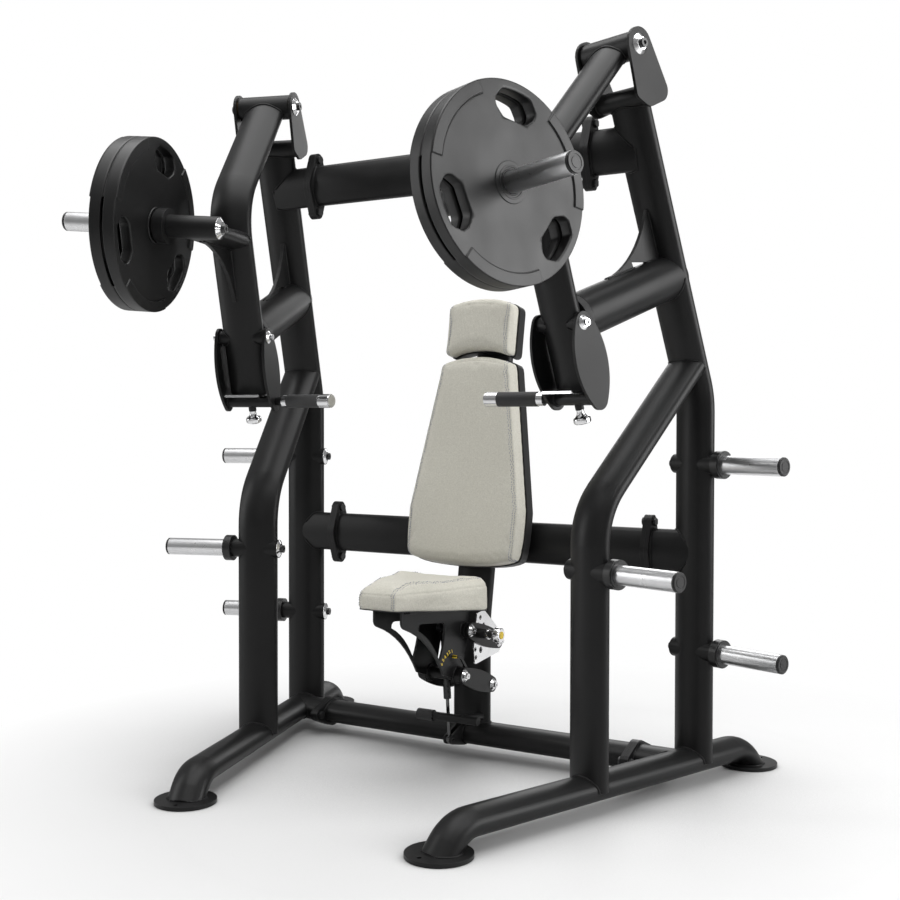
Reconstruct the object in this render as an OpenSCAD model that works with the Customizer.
// Plate-loaded chest press machine: two splayed side frames joined by three
// crossbeams, two independent swinging press arms with weight horns and
// adjustable handles, a reclined back pad and a seat on a parallel linkage.
// Axes: -Y is the front, where a seated user faces, +X is to the right when
// facing the machine, +Z up. Origin: on the floor at the middle of the footprint.
// The modules measure Y from the front feet; placed() moves each node to the origin.

/* [Side frames] */
// Distance from the centre plane to each front foot centre
foot_half = 382.8; // [376:0.1:390]
// Splay of each side frame, opening toward the back
splay = 17.93; // [17.5:0.01:18.4]
// Length of the straight part of the base rail
rail_len = 971; // [940:1:1000]
// Height of the base rail centre above the floor
rail_z = 60; // [58:0.5:64]
// Diameter of each floor plate
foot_d = 160; // [140:1:180]
// Thickness of each floor plate
foot_t = 10; // [6:1:14]
// Anchor hole diameter in each floor plate
anchor_d = 12; // [10:0.5:14]
// Large side of the oval main tube
tube_w = 120; // [116:1:124]
// Small side of the oval main tube
tube_d = 60; // [56:1:64]

/* [Press arms] */
// Place of the arm pivot along the side frame
pivot_s = 569.5; // [568:0.5:571]
// Height of the arm pivot
pivot_z = 1910; // [1906:1:1914]
// Radius of the pivot shaft
pivot_r = 15; // [12:0.5:16]
// Height of the weight horn at the arm's mid plane
horn_z = 1480; // [1476:0.2:1484]
// Upward tilt of the weight horn
horn_tilt = 4.4; // [3:0.1:6]
// Radius of the weight horn sleeve
horn_r = 25; // [24:0.1:25.2]
// Length of the weight horn sleeve and its cap
horn_len = 264; // [240:1:280]

/* [Weight plates] */
// Diameter of a weight plate
plate_d = 450; // [440:1:452]
// Thickness of a weight plate
plate_t = 37.5; // [34:0.5:38]

/* [Handles] */
// Distance from the handle pivot to its cross tube
cross_r = 190; // [188:0.5:194]
// Diameter of the hand grip
grip_d = 38; // [32:1:42]
// Step between the holes of the handle selector
handle_step = 8; // [7:0.5:8]

/* [Pads] */
// Recline of the back pad
recline = 9.76; // [9:0.01:10.5]
// Thickness of the padding
pad_t = 57; // [50:1:60]
// Depth of the hard shell behind the padding
shell_t = 34; // [28:1:34]

/* [Seat mechanism] */
// Reach of each parallel link, front to back
link_y = 162; // [160:0.5:164]
// Rise of each parallel link at rest
link_z = 53; // [51:0.5:55]
// Step between the holes of the seat selector
seat_step = 10.5; // [9.5:0.1:11]
// Radius of the hole circle of the seat selector
seat_hole_r = 129.5; // [128:0.5:131]

/* [Hidden] */
NODES = ["right_side_frame", "left_side_frame", "upper_crossbeam", "centre_frame", "flange_bolts",
  "storage_sleeves", "storage_collars", "storage_end_caps", "storage_washers", "storage_bolts",
  "pivot_shafts", "pivot_washers", "pivot_bolts", "stop_bumpers",
  "back_pad", "back_shell", "head_pad", "head_shell", "pad_brackets",
  "seat_stop_sleeve", "seat_selector_plate", "seat_post_pivots",
  "right_arm", "right_arm_bushes", "right_horn_sleeve", "right_horn_collar",
  "right_horn_cap", "right_horn_bolt", "right_horn_washer", "right_handle_selector",
  "left_arm", "left_arm_bushes", "left_horn_sleeve", "left_horn_collar",
  "left_horn_cap", "left_horn_bolt", "left_horn_washer", "left_handle_selector",
  "right_weight_plates", "left_weight_plates",
  "right_handle_frame", "right_grip", "right_handle_trim", "right_handle_pivots",
  "left_handle_frame", "left_grip", "left_handle_trim", "left_handle_pivots",
  "right_handle_pin", "left_handle_pin",
  "seat_pad", "seat_bracket", "seat_front_pivots", "seat_upper_links", "seat_lower_links",
  "seat_pin", "seat_pin_cap", "gas_cylinder", "gas_rod"];
node = "all";
$fn = 72;
gap = 0.02;                      // hairline between separate pieces
foot_to_mid = 489.7;             // from the front feet to the middle of the footprint

frame_black = [0.13, 0.13, 0.14];
shell_black = [0.08, 0.08, 0.08];
bolt_black = [0.1, 0.1, 0.1];
cap_black = [0.12, 0.12, 0.12];
rubber_black = [0.05, 0.05, 0.05];
pad_cream = [0.77, 0.76, 0.72];

// oval sections: [half thickness, half width, end radius]
main_oval = [tube_d/2, tube_w/2, 18];
rail_oval = [35, 50, 25];

// places in a side frame, as [along the frame, up]
rail_inset = 95;                 // foot centre to the straight part of the rail
foot_gap = rail_len + 2*rail_inset;
anchor_out = 58;                 // foot centre to its anchor hole
front_post = 494;
rear_post = 910;
peg_spots = [[rear_post, 865], [front_post, 605], [rear_post, 360]];
arm_pivot = [pivot_s, pivot_z];
handle_pivot = [388, 1217];
bumper_r = 59;
bumper_t = 22;

// bends
rear_bend = 20.3;
rear_bend_r = 240;
arm_lean = 18;                   // arm angles from vertical, below and above its bend
arm_top = 41;
arm_bend = arm_lean + arm_top;
arm_bend_r = 175;

// crossbeam joints: [[Y, Z], beam half length, X where the side stub ends,
//   section, turn of the section, bolt offset]
upper_joint = [[641, 1684], 452, 590, main_oval, 90, 78];
middle_joint = [[866, 625], 533, 655, main_oval, 90, 78];
base_joint = [[806, rail_z+1], 520, 640, rail_oval, 0, 68];
flange_t = 12;

// places in the seat mechanism, as [Y, Z]
post_upper = [840, 333];         // rear pivots of the links
post_lower = [803, 210];
front_upper = post_upper + [-link_y, link_z];
front_lower = post_lower + [-link_y, link_z];
stop_bar = [668, 131];
gas_foot = [709, 57];

// ---- helpers ----
// a shape drawn as [along the frame, outward, up], placed on the right or left side
module right_side() translate([foot_half,0,0]) rotate([0,0,90-splay]) mirror([0,1,0]) children();
module left_side() mirror([1,0,0]) right_side() children();
module both_x() for (m=[0,1]) mirror([m,0,0]) children();
module both_y() for (m=[0,1]) mirror([0,m,0]) children();
module both_sides() both_x() right_side() children();

// cylinders along Y at [X, Z], and along X at [Y, Z]
module rod_y(at, radius, from, to)
  translate([at[0],from,at[1]]) rotate([-90,0,0]) cylinder(r=radius, h=to-from);
module rod_x(at, radius, from, to)
  translate([from,at[0],at[1]]) rotate([0,90,0]) cylinder(r=radius, h=to-from);

// slabs of a drawing in the XZ plane, and in the YZ plane
module slab_xz(y, thick)
  translate([0,y+thick,0]) rotate([90,0,0]) linear_extrude(height=thick) children();
module slab_yz(x, thick)
  translate([x,0,0]) rotate([90,0,90]) linear_extrude(height=thick) children();

// oval section: two shallow flanks closed by two round ends
module oval(section) {
  half_d = section[0];
  end_r = section[2];
  end_y = section[1] - end_r;
  flank_r = (half_d*half_d + end_y*end_y - end_r*end_r) / (2*(half_d-end_r));
  flank_top = end_y + end_y*end_r/(flank_r-end_r);
  intersection() {
    translate([half_d-flank_r,0]) circle(r=flank_r,$fn=160);
    translate([flank_r-half_d,0]) circle(r=flank_r,$fn=160);
    square([4*half_d,2*flank_top], center=true);
  }
  translate([0,end_y]) circle(r=end_r);
  translate([0,-end_y]) circle(r=end_r);
}

// bent oval tube in the XZ plane, starting up +Z; segments are [length, bend radius, bend angle]
module bent_tube(section, segments, i=0) {
  if (i < len(segments)) {
    length = segments[i][0];
    radius = segments[i][1];
    bend = segments[i][2];
    linear_extrude(height=length) oval(section);
    translate([0,0,length]) {
      if (bend > 0) translate([radius,0,0]) mirror([1,0,0]) elbow(section, radius, bend);
      if (bend < 0) translate([-radius,0,0]) elbow(section, radius, -bend);
      translate([sign(bend)*radius*(1-cos(bend)), 0, radius*sin(abs(bend))])
        rotate([0,bend,0]) bent_tube(section, segments, i+1);
    }
  }
}
module elbow(section, radius, bend)
  rotate([90,0,0]) rotate_extrude(angle=bend,$fn=96) translate([radius,0]) oval(section);

// outline around circles [x, y, radius] taken counter-clockwise
function tangent_angle(a, b) =
  atan2(b[1]-a[1],b[0]-a[0]) - 90 + asin((a[2]-b[2])/norm([b[0]-a[0],b[1]-a[1]]));
function outline(circles, steps=8) = [
  for (i=[0:len(circles)-1])
    let (count = len(circles), here = circles[i],
      start = tangent_angle(circles[(i+count-1)%count], here),
      end = tangent_angle(here, circles[(i+1)%count]),
      sweep = ((end-start)%360+360)%360)
    for (k=[0:steps])
      [here[0]+here[2]*cos(start+sweep*k/steps), here[1]+here[2]*sin(start+sweep*k/steps)]];
// quadratic curve from start to end, pulled toward pull
function curve(start, pull, end, steps=10) = [
  for (i=[0:steps]) let(t=i/steps) (1-t)*(1-t)*start + 2*t*(1-t)*pull + t*t*end];
function arc(radius, from, to, steps) = [
  for (i=[0:steps]) let(a=from+(to-from)*i/steps) [radius*cos(a), radius*sin(a)]];
// closes a right half outline with its mirror image
function both_halves(half) = concat(half,
  [for (i=[len(half)-1:-1:0]) if (half[i][0] > 0.5) [-half[i][0],half[i][1]]]);

// ---- crossbeam joints ----
module joint_tube(joint, from, to) translate([from,joint[0][0],joint[0][1]])
  rotate([0,90,0]) linear_extrude(height=to-from) rotate(joint[4]) oval(joint[3]);
module joint_flange(joint, x) translate([0,joint[0][0],joint[0][1]])
  slab_yz(x,flange_t) rotate(90-joint[4]) flange_2d(joint[5]);
module flange_2d(bolt_offset) difference() {
  polygon(outline([[0,-bolt_offset,19.5], [0,0,45], [0,bolt_offset,19.5], [0,0,45]]));
  for (k=[-1,1]) translate([0,k*bolt_offset]) circle(r=8.5);
}
module beam(joint) {
  half = joint[1];
  joint_tube(joint, -half+6, half-6);
  for (x=[-half,half-flange_t]) joint_flange(joint, x);
}
module flange_bolt() {
  grip = 2*flange_t + 2*gap;
  cylinder(r=8,h=grip);
  translate([0,0,-8]) cylinder(r=11.5,h=8-gap);
  translate([0,0,grip+gap]) cylinder(r=11.5,h=8,$fn=6);
  // short shank lengths that tie the head and the nut to the shank
  translate([0,0,24]) cylinder(r=8,h=8);
  translate([0,0,-4]) cylinder(r=8,h=8);
}
module flange_bolts() color(bolt_black) both_x()
  for (joint=[upper_joint,middle_joint,base_joint]) for (k=[-joint[5],joint[5]])
    translate([joint[1]-flange_t, joint[0][0]+k*cos(joint[4]), joint[0][1]+k*sin(joint[4])])
      rotate([0,90,0]) flange_bolt();
module upper_crossbeam() color(frame_black) beam(upper_joint);

// ---- side frames ----
// base rail, bent down to a floor plate at each end
module base_rail() {
  intersection() {
    translate([-6.7,0,rail_z-68.4]) rotate([0,40,0])
      bent_tube(rail_oval, [[45,95,50], [rail_len,95,50], [45,0,0]]);
    translate([-200,-70,foot_t]) cube([1600,140,200]);
  }
  for (s=[0,foot_gap]) translate([s,0,0]) cylinder(r=foot_d/2,h=foot_t,$fn=96);
}
module posts() {
  setback = rear_bend_r*tan(rear_bend/2);
  translate([front_post,0,rail_z]) bent_tube(main_oval, [[609.2,200,45], [448.9,0,0]]);
  translate([rear_post,0,rail_z]) mirror([1,0,0])
    bent_tube(main_oval, [[988-setback,rear_bend_r,rear_bend], [788.7-setback,0,0]]);
}
// cross tube and two ears that hold the arm pivot
module post_head() {
  rod_y([620,1799],25.5,-84,84);
  ear = [[580,1796,21], [610,1790,26], [647,1812,30], [pivot_s,pivot_z,42]];
  for (y=[-90,82]) slab_xz(y,8) polygon(outline(ear,12));
}
module at_bumper() translate([420.7,0,1227.6]) rotate([0,72,0]) children();
module stop_tube() difference() {
  translate([549,0,1274.3]) rotate([0,70,0]) translate([0,0,-135])
    cylinder(r=bumper_r,h=405,$fn=96);
  at_bumper() translate([-120,-120,-80]) cube([240,240,80+bumper_t+gap]);
}
module stop_gusset() slab_xz(-5,10) difference() {
  polygon(concat(curve([552,1338],[668,1390],[697,1528]),
    [[735,1500], [790,1370], [600,1300]]));
  polygon([[640,1388], [700,1393], [694,1378], [648,1374]]);
}
peg_boss = [-66, 76];            // inner and outer ends of a storage peg boss
peg_bore = 8.2;
module frame_plane() difference() {
  union() {
    base_rail();
    posts();
    post_head();
    stop_tube();
    stop_gusset();
    for (spot=peg_spots) rod_y(spot,26.5,peg_boss[0],peg_boss[1]);
  }
  for (spot=peg_spots) rod_y(spot,peg_bore,-80,100);
  rod_y(arm_pivot,pivot_r+0.05,-100,100);
  for (s=[-anchor_out,foot_gap+anchor_out]) translate([s,0,-5]) cylinder(r=anchor_d/2,h=40);
}
module side_frame() {
  right_side() frame_plane();
  for (joint=[upper_joint,middle_joint,base_joint]) {
    joint_tube(joint, joint[1]+4, joint[2]);
    joint_flange(joint, joint[1]+gap);
  }
}
module right_side_frame() color(frame_black) side_frame();
module left_side_frame() color(frame_black) mirror([1,0,0]) side_frame();
module stop_bumpers() color(rubber_black) both_sides()
  at_bumper() cylinder(r=bumper_r,h=bumper_t,$fn=96);

// ---- centre frame ----
post_behind = 125;               // pad face to the axis of the leaning seat post
link_pin_r = 10;
stop_bar_r = 12;
gas_pin_r = 5;
module centre_frame() color(frame_black) difference() {
  union() {
    beam(middle_joint);
    beam(base_joint);
    // seat post, vertical then leaning back behind the pads
    translate([0,base_joint[0][0],base_joint[0][1]]) rotate([0,0,90])
      bent_tube(main_oval, [[310.4,300,9.76], [859,0,0]]);
    for (at=[post_upper,post_lower]) rod_x(at,17,-64,64);
    // seat stop bar and its stem
    rod_x(stop_bar,stop_bar_r,-99.5,99.5);
    translate([40,stop_bar[0],stop_bar[1]]) rotate([-98,0,0]) cylinder(r=11,h=120);
    // lug for the foot of the gas spring
    lug = [[gas_foot[0],gas_foot[1],14], [775,40,12], [775,82,12]];
    for (x=[-33,-13]) slab_yz(x,6) polygon(outline(lug));
  }
  for (at=[post_upper,post_lower]) rod_x(at,link_pin_r+0.06,-80,80);
  rod_x(gas_foot,gas_pin_r+0.06,-50,10);
}

// ---- storage pegs, drawn along Y with the outer end at +Y ----
peg_collar_end = 100;
peg_sleeve_end = 278;
peg_axis = [0, 0];
module pegs() both_sides() for (spot=peg_spots) translate([spot[0],0,spot[1]]) children();
module storage_collars() color(shell_black) pegs() difference() {
  union() {
    rod_y(peg_axis,37.5,peg_boss[1]+gap,98);
    rod_y(peg_axis,34,97,peg_collar_end);
  }
  rod_y(peg_axis,peg_bore,70,110);
}
module storage_sleeves() color("silver") pegs() difference() {
  rod_y(peg_axis,24.75,peg_collar_end+gap,peg_sleeve_end);
  rod_y(peg_axis,20,90,290);
}
module storage_end_caps() color(cap_black) pegs() difference() {
  union() {
    rod_y(peg_axis,19.9,266,279);
    rod_y(peg_axis,24.6,peg_sleeve_end+gap,283);
    rod_y(peg_axis,22.5,282,285);
  }
  rod_y(peg_axis,peg_bore,260,281.2);
  difference() {
    rod_y(peg_axis,17,284,286);
    rod_y(peg_axis,12,283,287);
  }
}
module storage_washers() color("silver") pegs() difference() {
  translate([0,peg_boss[0]-gap,0]) rotate([90,0,0]) cylinder(r1=25,r2=15,h=6);
  rod_y(peg_axis,peg_bore,-80,-60);
}
module storage_bolts() color(bolt_black) pegs() difference() {
  union() {
    rod_y(peg_axis,8,-73,281);
    rod_y(peg_axis,11,-81,-72-2*gap);
  }
  rod_y(peg_axis,5.5,-82,-77,$fn=6);
}

// ---- arm pivots ----
pivot_half = 90;                 // half length of the pivot shaft
module pivot_shafts() color("silver") both_sides() difference() {
  rod_y(arm_pivot,pivot_r,-pivot_half,pivot_half);
  for (y=[-91,65]) rod_y(arm_pivot,6.05,y,y+26);
}
module pivot_washers() color("silver") both_sides() both_y() difference() {
  translate([pivot_s,pivot_half+gap,pivot_z]) rotate([-90,0,0]) cylinder(r1=26,r2=16,h=7);
  rod_y(arm_pivot,6.1,85,100);
}
module pivot_bolts() color(bolt_black) both_sides() both_y() difference() {
  union() {
    rod_y(arm_pivot,6,68,98);
    rod_y(arm_pivot,11.5,97+2*gap,106);
  }
  rod_y(arm_pivot,5.5,102,107,$fn=6);
}

// ---- press arms ----
// weight horn frame: +Z runs outward along the horn from the arm's mid plane
module at_horn() translate([55,-6,horn_z]) rotate([horn_tilt-90,0,0]) children();
// handle frame: +Z runs down and back from the handle pivot
module at_handle() translate([handle_pivot[0],0,handle_pivot[1]])
  rotate([0,180-arm_lean,0]) children();
horn_boss = [-68, 72];           // ends of the horn boss, along the horn
horn_start = 106;                // start of the sleeve
horn_end = horn_start + horn_len - 8;
horn_bore = 8.2;
bush_r = 19;
handle_pin_r = 8;

module arm_tube() difference() {
  setback = arm_bend_r*tan(arm_bend/2);
  translate([442.6,0,1062]) rotate([0,-arm_lean,0])
    bent_tube(main_oval, [[536.2-setback,arm_bend_r,arm_bend], [447-setback,0,0]]);
  // rounds the lower end about the handle pivot
  difference() {
    rod_y(handle_pivot,220,-70,70);
    rod_y(handle_pivot,164.4,-80,80);
    translate([0,-90,1090]) cube([700,180,500]);
  }
}
module arm() difference() {
  union() {
    arm_tube();
    rod_y(arm_pivot,35,-78,78);
    // forward branch to the weight horn, its boss and the gusset below
    translate([310,0,1479]) rotate([0,-90,0]) linear_extrude(height=255) oval([27,58,17]);
    at_horn() translate([0,0,horn_boss[0]]) cylinder(r=30,h=horn_boss[1]-horn_boss[0]);
    slab_xz(-5,10) polygon(concat(curve([60,1455],[256,1455],[322,1312]),
      [[335,1330], [300,1474], [70,1474]]));
    rod_y(handle_pivot,20,-67.5,67.5);
  }
  rod_y(arm_pivot,bush_r+0.02,-90,90);
  rod_y(handle_pivot,handle_pin_r+0.05,-80,80);
  at_horn() translate([0,0,-82]) cylinder(r=horn_bore,h=172);
}
module arm_bushes() difference() {
  both_y() {
    rod_y(arm_pivot,bush_r,48,79);
    rod_y(arm_pivot,27,78+gap,81.9);
  }
  rod_y(arm_pivot,pivot_r+0.07,-90,90);
}
module horn_collar() at_horn() difference() {
  union() {
    translate([0,0,horn_boss[1]+gap]) cylinder(r=46,h=28);
    translate([0,0,99]) cylinder(r=40,h=7);
  }
  translate([0,0,60]) cylinder(r=horn_bore,h=60);
}
module horn_sleeve() at_horn() translate([0,0,horn_start+gap]) difference() {
  cylinder(r=horn_r,h=horn_len-8);
  translate([0,0,-5]) cylinder(r=20,h=horn_len+10);
}
module horn_cap() at_horn() translate([0,0,horn_end+2*gap]) difference() {
  union() {
    translate([0,0,-14]) cylinder(r=19.9,h=15);
    cylinder(r=24.8,h=5);
    translate([0,0,4]) cylinder(r=22.5,h=4);
  }
  translate([0,0,-20]) cylinder(r=horn_bore,h=22);
  translate([0,0,7]) difference() {
    cylinder(r=17,h=3);
    translate([0,0,-1]) cylinder(r=12,h=5);
  }
}
module horn_bolt() at_horn() difference() {
  union() {
    translate([0,0,-78]) cylinder(r=8,h=78+horn_end);
    translate([0,0,-86]) cylinder(r=11.5,h=9-3*gap);
  }
  translate([0,0,-87]) cylinder(r=5.5,h=5,$fn=6);
}
module horn_washer() at_horn() translate([0,0,horn_boss[0]-gap]) mirror([0,0,1]) difference() {
  cylinder(r1=28,r2=17,h=9-3*gap);
  translate([0,0,-1]) cylinder(r=horn_bore,h=12);
}
// curved strip of holes around the handle pivot
module handle_selector() translate([handle_pivot[0],0,handle_pivot[1]])
  rotate([-90,0,0]) difference() {
    rotate([0,0,90-arm_lean-24]) rotate_extrude(angle=48,$fn=96)
      translate([164.6,-50]) square([6.4,100]);
    for (k=[-2:2]) rotate([0,0,90-arm_lean+k*handle_step]) rotate([0,90,0])
      translate([0,0,150]) cylinder(r=5.6,h=40);
  }
module right_arm() color(frame_black) right_side() arm();
module left_arm() color(frame_black) left_side() arm();
module right_arm_bushes() color([0.6,0.5,0.3]) right_side() arm_bushes();
module left_arm_bushes() color([0.6,0.5,0.3]) left_side() arm_bushes();
module right_horn_sleeve() color("silver") right_side() horn_sleeve();
module left_horn_sleeve() color("silver") left_side() horn_sleeve();
module right_horn_collar() color(shell_black) right_side() horn_collar();
module left_horn_collar() color(shell_black) left_side() horn_collar();
module right_horn_cap() color(cap_black) right_side() horn_cap();
module left_horn_cap() color(cap_black) left_side() horn_cap();
module right_horn_bolt() color(bolt_black) right_side() horn_bolt();
module left_horn_bolt() color(bolt_black) left_side() horn_bolt();
module right_horn_washer() color("silver") right_side() horn_washer();
module left_horn_washer() color("silver") left_side() horn_washer();
module right_handle_selector() color("silver") right_side() handle_selector();
module left_handle_selector() color("silver") left_side() handle_selector();

// ---- weight plates: three hand slots, three raised rim arcs, a stepped hub ----
rim_turn = 21;                   // middle of the first rim arc; slots lie between the arcs
slot_outline = concat([[139,-20], [139,20]],
  curve([139,20],[144,48],[168,59],4), curve([168,59],[186,62],[199,44],4),
  arc(204,11,-11,6),
  curve([199,-44],[186,-62],[168,-59],4), curve([168,-59],[144,-48],[139,-20],4));
rim_outline = concat(arc(225.01,-30,30,14), arc(197,28.5,-28.5,14));
module weight_disc() difference() {
  union() {
    cylinder(r=plate_d/2,h=plate_t-3.5,$fn=128);
    intersection() {
      cylinder(r=plate_d/2-1.5,h=plate_t,$fn=128);
      linear_extrude(height=plate_t)
        for (turn=[0,120,-120]) rotate(rim_turn+turn) polygon(rim_outline);
    }
    cylinder(r=47,h=plate_t-1);
    cylinder(r=37,h=plate_t);
  }
  translate([0,0,-5]) cylinder(r=horn_r+0.09,h=60);
  translate([0,0,plate_t-2]) difference() {
    cylinder(r=33,h=5);
    translate([0,0,-1]) cylinder(r=29,h=8);
  }
  translate([0,0,-5]) linear_extrude(height=60)
    for (turn=[0,120,-120]) rotate(rim_turn+60+turn) polygon(slot_outline);
}
// the horn frame's Y points down, so each disc is mirrored upright
module weight_plates() at_horn() for (k=[0,1])
  translate([0,0,horn_start+0.2+k*(plate_t+0.1)]) mirror([0,1,0]) weight_disc();
module right_weight_plates() color([0.2,0.2,0.21]) right_side() weight_plates();
module left_weight_plates() color([0.2,0.2,0.21]) left_side() weight_plates();

// ---- handles, drawn for the right side ----
bar_r = 12;                      // bar that carries the grip
grip_start = 52;
grip_len = 113;
// point of the right side frame as [X, Y, Z]
function side_point(along, outward, z) = [
  foot_half + along*sin(splay) + outward*cos(splay),
  along*cos(splay) - outward*sin(splay), z];
// grip frame: +Z runs inward, toward -X, from the handle's cross tube
module at_grip() translate(side_point(handle_pivot[0]+cross_r*sin(arm_lean), -72,
  handle_pivot[1]-cross_r*cos(arm_lean))) rotate([0,-90,0]) children();
module handle_frame() difference() {
  union() {
    right_side() at_handle() {
      for (y=[-76,68]) slab_xz(y,8) translate([0,96]) oval([55,123,27]);
      rod_y([0,cross_r],17,-69,69);
      translate([0,0,cross_r+14]) cylinder(r=11,h=14);
    }
    at_grip() cylinder(r=bar_r,h=190);
  }
  right_side() at_handle() {
    rod_y([0,0],handle_pin_r+0.05,-90,90);
    translate([0,0,150]) cylinder(r=5.08,h=90);
  }
}
module grip() at_grip() translate([0,0,grip_start+gap]) difference() {
  cylinder(r=grip_d/2,h=grip_len);
  translate([0,0,-1]) cylinder(r=bar_r+0.03,h=120);
}
// a ring at one end of the grip and a closed cap at the other
module handle_trim() at_grip() {
  translate([0,0,34]) difference() {
    cylinder(r=17.5,h=18);
    translate([0,0,-1]) cylinder(r=bar_r+0.03,h=30);
  }
  translate([0,0,grip_start+grip_len+2*gap]) difference() {
    union() {
      cylinder(r=19.5,h=35);
      translate([0,0,34]) cylinder(r=17.5,h=4);
    }
    translate([0,0,-1]) cylinder(r=bar_r+0.03,h=28);
  }
}
module handle_pivots() right_side() at_handle() difference() {
  union() {
    rod_y([0,0],handle_pin_r,-84,84);
    both_y() {
      translate([0,76+gap,0]) rotate([-90,0,0]) cylinder(r1=18.5,r2=12,h=5);
      rod_y([0,0],9,80,89);
    }
  }
  both_y() rod_y([0,0],4.6,86,91,$fn=6);
}
// knob profile: [radius, height]
handle_knob = concat([[0,0], [9.5,0]], curve([9.5,0],[7.5,14],[19,19],6),
  curve([19,19],[22,21],[22,25],3), curve([22,31],[22,35],[15,36],4), [[0,37]]);
module handle_pin() right_side() at_handle() {
  translate([0,0,171.5]) cylinder(r=5,h=55);
  translate([0,0,cross_r+28.1]) rotate_extrude() polygon(handle_knob);
}
module right_handle_frame() color(frame_black) handle_frame();
module left_handle_frame() color(frame_black) mirror([1,0,0]) handle_frame();
module right_grip() color(rubber_black) grip();
module left_grip() color(rubber_black) mirror([1,0,0]) grip();
module right_handle_trim() color("silver") handle_trim();
module left_handle_trim() color("silver") mirror([1,0,0]) handle_trim();
module right_handle_pivots() color("silver") handle_pivots();
module left_handle_pivots() color("silver") mirror([1,0,0]) handle_pivots();
module right_handle_pin() color("silver") handle_pin();
module left_handle_pin() color("silver") mirror([1,0,0]) handle_pin();

// ---- pads ----
// right half outlines: [across, up the pad]
half_back = concat(curve([0,-35],[140,-35],[176,-13],6),
  curve([176,-13],[192,-4],[190,131],5), [[123,546]],
  curve([123,546],[121,566],[104,570],3), curve([104,570],[60,586],[0,586],5));
half_head = concat(curve([0,604],[60,604],[92,586],5),
  curve([92,586],[112,582],[111,604],4), [[111,722]],
  curve([111,722],[111,740],[95,746],4), curve([95,746],[50,760],[0,760],5));
// pad frame: Y runs back from the pad face, Z up the pad
module at_pad() translate([0,714,600]) rotate([-recline,0,0]) children();
module padding(half) at_pad() slab_xz(0,pad_t-gap) polygon(both_halves(half));
module shell(half) at_pad() slab_xz(pad_t,shell_t) polygon(both_halves(half));
module back_pad() color(pad_cream) padding(half_back);
module back_shell() color(shell_black) shell(half_back);
module head_pad() color(pad_cream) padding(half_head);
module head_shell() color(shell_black) shell(half_head);
// blocks from the shells to the post: [middle, height], up the pad
bracket_spots = [[60,55], [420,40], [650,30]];
module pad_brackets() color(frame_black) at_pad() for (spot=bracket_spots)
  translate([-45,pad_t+shell_t+gap,spot[0]-spot[1]/2])
    cube([90,post_behind-tube_d/2-pad_t-shell_t-3*gap,spot[1]]);

// ---- seat pad and bracket ----
// side outline: [Y, Z]
seat_side = [[302,484], [650,454], [650,536], [640,548], [345,556], [316,545], [302,527]];
// right half of the plan: [X, Y]
half_seat = [[55,300], [68,318], [78,370], [105,422], [131,533], [158,600], [156,625],
  [130,646], [100,652]];
module seat_pad() color(pad_cream) intersection() {
  slab_yz(-170,340) polygon(seat_side);
  translate([0,0,430]) linear_extrude(height=150) polygon(both_halves(half_seat));
}
// cheek and its window: [Y, Z]
cheek_outline = concat([[357,478], [357,446]], curve([357,446],[360,432],[378,427],4),
  curve([378,427],[500,385],[569,274],8),
  [for (a=[190:15:350]) [front_lower[0]+24*cos(a), front_lower[1]+24*sin(a)]],
  [[front_upper[0]+24,front_upper[1]-10], [front_upper[0]+26,449]]);
cheek_window = concat(curve([437,417],[436,434],[455,433],3), [[570,421]],
  curve([576,412],[580,372],[548,316],5), curve([548,316],[505,388],[437,417],6));
module seat_bracket() color(frame_black) difference() {
  union() {
    for (x=[-46,40]) slab_yz(x,6) difference() {
      polygon(cheek_outline);
      polygon(cheek_window);
    }
    // carrier plate under the seat pad
    intersection() {
      slab_yz(-62,124) polygon([[372,471.9], [690,444.5], [690,450.3], [372,477.7]]);
      translate([-100,300,400]) cube([200,400,100]);
    }
    // pivot tube and side bosses
    rod_x(front_lower,15.5,-40,40);
    both_x() rod_x(front_lower,23,38,65.5);
    both_x() {
      rod_x(front_upper,22,40,60.4);
      rod_x(front_upper,14,60,65.5);
    }
  }
  for (at=[front_lower,front_upper]) rod_x(at,link_pin_r+0.03,-80,80);
}

// ---- seat links and pivots ----
module link_pair(rear, front) for (x=[-72,66]) slab_yz(x,6) difference() {
  translate([(rear[0]+front[0])/2,(rear[1]+front[1])/2])
    rotate(atan2(rear[1]-front[1],rear[0]-front[0])+90) oval([30,norm(rear-front)/2+22,22]);
  for (at=[rear,front]) translate(at) circle(r=link_pin_r+0.06);
}
module seat_upper_links() color(frame_black) difference() {
  union() {
    link_pair(post_upper,front_upper);
    at_seat_pin() translate([0,0,71.5]) cylinder(r=14,h=26);
  }
  at_seat_pin() translate([0,0,60]) cylinder(r=6.08,h=60);
}
module seat_lower_links() color(frame_black) {
  link_pair(post_lower,front_lower);
  // pointer that sweeps the height scale on the bracket
  slab_yz(62.2,4.4) polygon([[652,285], [669,271], [664,284], [634,319], [612,322],
    [611,317], [628,313]]);
  slab_yz(50,14) polygon([[606,324], [614,323], [613,320], [605,321]]);
}
module link_end_caps(at) both_x() difference() {
  union() {
    translate([72.1,at[0],at[1]]) rotate([0,90,0]) cylinder(r1=18,r2=12,h=5);
    rod_x(at,8,76,84);
  }
  rod_x(at,4,81,86,$fn=6);
}
module link_pivot(at) {
  rod_x(at,link_pin_r,-76,76);
  link_end_caps(at);
}
module seat_post_pivots() color("silver") for (at=[post_upper,post_lower]) link_pivot(at);
module seat_front_pivots() color("silver") {
  link_pivot(front_lower);
  both_x() rod_x(front_upper,link_pin_r,40,76);
  link_end_caps(front_upper);
}

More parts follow.
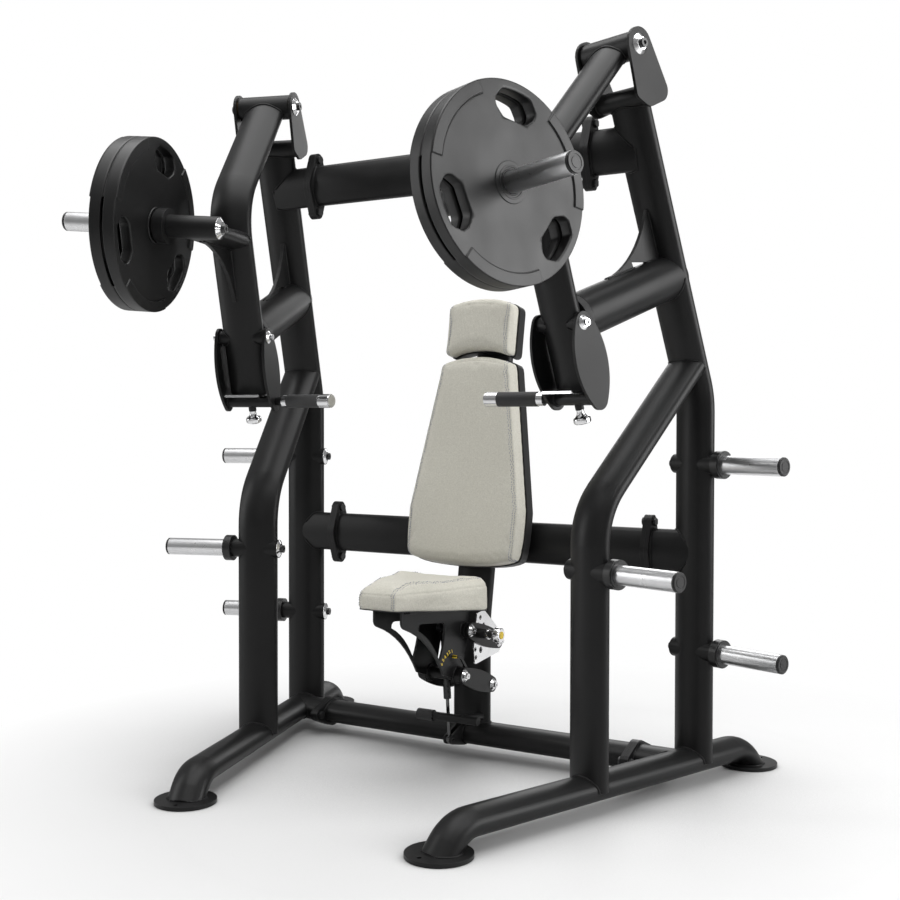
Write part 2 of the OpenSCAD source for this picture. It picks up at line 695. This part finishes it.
// ---- seat height selector ----
selector_turn = 180 - 18.1;      // direction from the upper post pivot to the pin
function selector_spot(radius, steps) = let(a=selector_turn+steps*seat_step)
  post_upper + radius*[cos(a), sin(a)];
// corner circles of the plate: [Y, Z, radius]
selector_corners = [[708,330,6], [714,290,6], [840,318,20], [846,350,14], [758,422,12],
  [726,424,6]];
module seat_selector_plate() color("silver") difference() {
  slab_yz(61,4.5) difference() {
    polygon(outline(selector_corners,6));
    translate(post_upper) circle(r=17.1);
    for (k=[-2:3]) translate(selector_spot(seat_hole_r,k)) circle(r=6.6);
    for (k=[-1.5,2.4]) translate(selector_spot(99,k)) circle(r=9);
  }
  rod_x(post_upper,17.1,50,80);
}
// pin frame: +Z runs along +X through the pin
module at_seat_pin() translate([0,post_upper[0],post_upper[1]]) rotate([selector_turn,0,0])
  translate([0,seat_hole_r,0]) rotate([0,90,0]) children();
// knob profile: [radius, height]
seat_knob = concat([[0,0], [9,0], [9,4], [15,6], [15,10], [11.5,12], [11.5,25]],
  curve([11.5,25],[21,27],[22,33],4), [[22,43]], curve([22,43],[22,48],[18,49],3), [[0,49]]);
module seat_pin() color("silver") at_seat_pin() {
  translate([0,0,66]) cylinder(r=6,h=40);
  translate([0,0,98]) rotate_extrude() polygon(seat_knob);
}
module seat_pin_cap() color([0.9,0.75,0.1]) at_seat_pin()
  translate([0,0,147+gap]) cylinder(r=10.5,h=1.6);
module seat_stop_sleeve() color(rubber_black) difference() {
  rod_x(stop_bar,16,-99.5,-47.5);
  rod_x(stop_bar,stop_bar_r+0.03,-100.5,-40.5);
}

// ---- gas spring, drawn up +Z from its foot to the upper front pivot ----
gas_span = front_upper - gas_foot;
gas_len = norm(gas_span);
module at_gas() translate([-20,gas_foot[0],gas_foot[1]])
  rotate([atan2(-gas_span[0],gas_span[1]),0,0]) children();
module gas_rod() color([0.2,0.2,0.2]) at_gas() {
  translate([0,0,9]) cylinder(r=5,h=216);
  rotate([0,90,0]) translate([0,0,-6.8]) cylinder(r=11,h=13.6);
  rotate([0,90,0]) translate([0,0,-14]) cylinder(r=gas_pin_r,h=28);
}
module gas_cylinder() color([0.06,0.06,0.06]) at_gas() difference() {
  union() {
    translate([0,0,gas_len-208]) cylinder(r=11,h=196);
    translate([0,0,gas_len]) rotate([0,90,0]) translate([0,0,-8]) cylinder(r=13,h=16);
  }
  translate([0,0,gas_len-210]) cylinder(r=5.08,h=192);
  translate([-20,0,gas_len]) rotate([0,90,0]) cylinder(r=8,h=40);
}

// ---- nodes ----
module placed() translate([0,-foot_to_mid,0]) children();
function shown(name) = node == "all" || node == name;

if (shown("right_side_frame")) placed() right_side_frame();
if (shown("left_side_frame")) placed() left_side_frame();
if (shown("upper_crossbeam")) placed() upper_crossbeam();
if (shown("centre_frame")) placed() centre_frame();
if (shown("flange_bolts")) placed() flange_bolts();
if (shown("storage_sleeves")) placed() storage_sleeves();
if (shown("storage_collars")) placed() storage_collars();
if (shown("storage_end_caps")) placed() storage_end_caps();
if (shown("storage_washers")) placed() storage_washers();
if (shown("storage_bolts")) placed() storage_bolts();
if (shown("pivot_shafts")) placed() pivot_shafts();
if (shown("pivot_washers")) placed() pivot_washers();
if (shown("pivot_bolts")) placed() pivot_bolts();
if (shown("stop_bumpers")) placed() stop_bumpers();
if (shown("back_pad")) placed() back_pad();
if (shown("back_shell")) placed() back_shell();
if (shown("head_pad")) placed() head_pad();
if (shown("head_shell")) placed() head_shell();
if (shown("pad_brackets")) placed() pad_brackets();
if (shown("seat_stop_sleeve")) placed() seat_stop_sleeve();
if (shown("seat_selector_plate")) placed() seat_selector_plate();
if (shown("seat_post_pivots")) placed() seat_post_pivots();
if (shown("right_arm")) placed() right_arm();
if (shown("right_arm_bushes")) placed() right_arm_bushes();
if (shown("right_horn_sleeve")) placed() right_horn_sleeve();
if (shown("right_horn_collar")) placed() right_horn_collar();
if (shown("right_horn_cap")) placed() right_horn_cap();
if (shown("right_horn_bolt")) placed() right_horn_bolt();
if (shown("right_horn_washer")) placed() right_horn_washer();
if (shown("right_handle_selector")) placed() right_handle_selector();
if (shown("left_arm")) placed() left_arm();
if (shown("left_arm_bushes")) placed() left_arm_bushes();
if (shown("left_horn_sleeve")) placed() left_horn_sleeve();
if (shown("left_horn_collar")) placed() left_horn_collar();
if (shown("left_horn_cap")) placed() left_horn_cap();
if (shown("left_horn_bolt")) placed() left_horn_bolt();
if (shown("left_horn_washer")) placed() left_horn_washer();
if (shown("left_handle_selector")) placed() left_handle_selector();
if (shown("right_weight_plates")) placed() right_weight_plates();
if (shown("left_weight_plates")) placed() left_weight_plates();
if (shown("right_handle_frame")) placed() right_handle_frame();
if (shown("right_grip")) placed() right_grip();
if (shown("right_handle_trim")) placed() right_handle_trim();
if (shown("right_handle_pivots")) placed() right_handle_pivots();
if (shown("left_handle_frame")) placed() left_handle_frame();
if (shown("left_grip")) placed() left_grip();
if (shown("left_handle_trim")) placed() left_handle_trim();
if (shown("left_handle_pivots")) placed() left_handle_pivots();
if (shown("right_handle_pin")) placed() right_handle_pin();
if (shown("left_handle_pin")) placed() left_handle_pin();
if (shown("seat_pad")) placed() seat_pad();
if (shown("seat_bracket")) placed() seat_bracket();
if (shown("seat_front_pivots")) placed() seat_front_pivots();
if (shown("seat_upper_links")) placed() seat_upper_links();
if (shown("seat_lower_links")) placed() seat_lower_links();
if (shown("seat_pin")) placed() seat_pin();
if (shown("seat_pin_cap")) placed() seat_pin_cap();
if (shown("gas_cylinder")) placed() gas_cylinder();
if (shown("gas_rod")) placed() gas_rod();
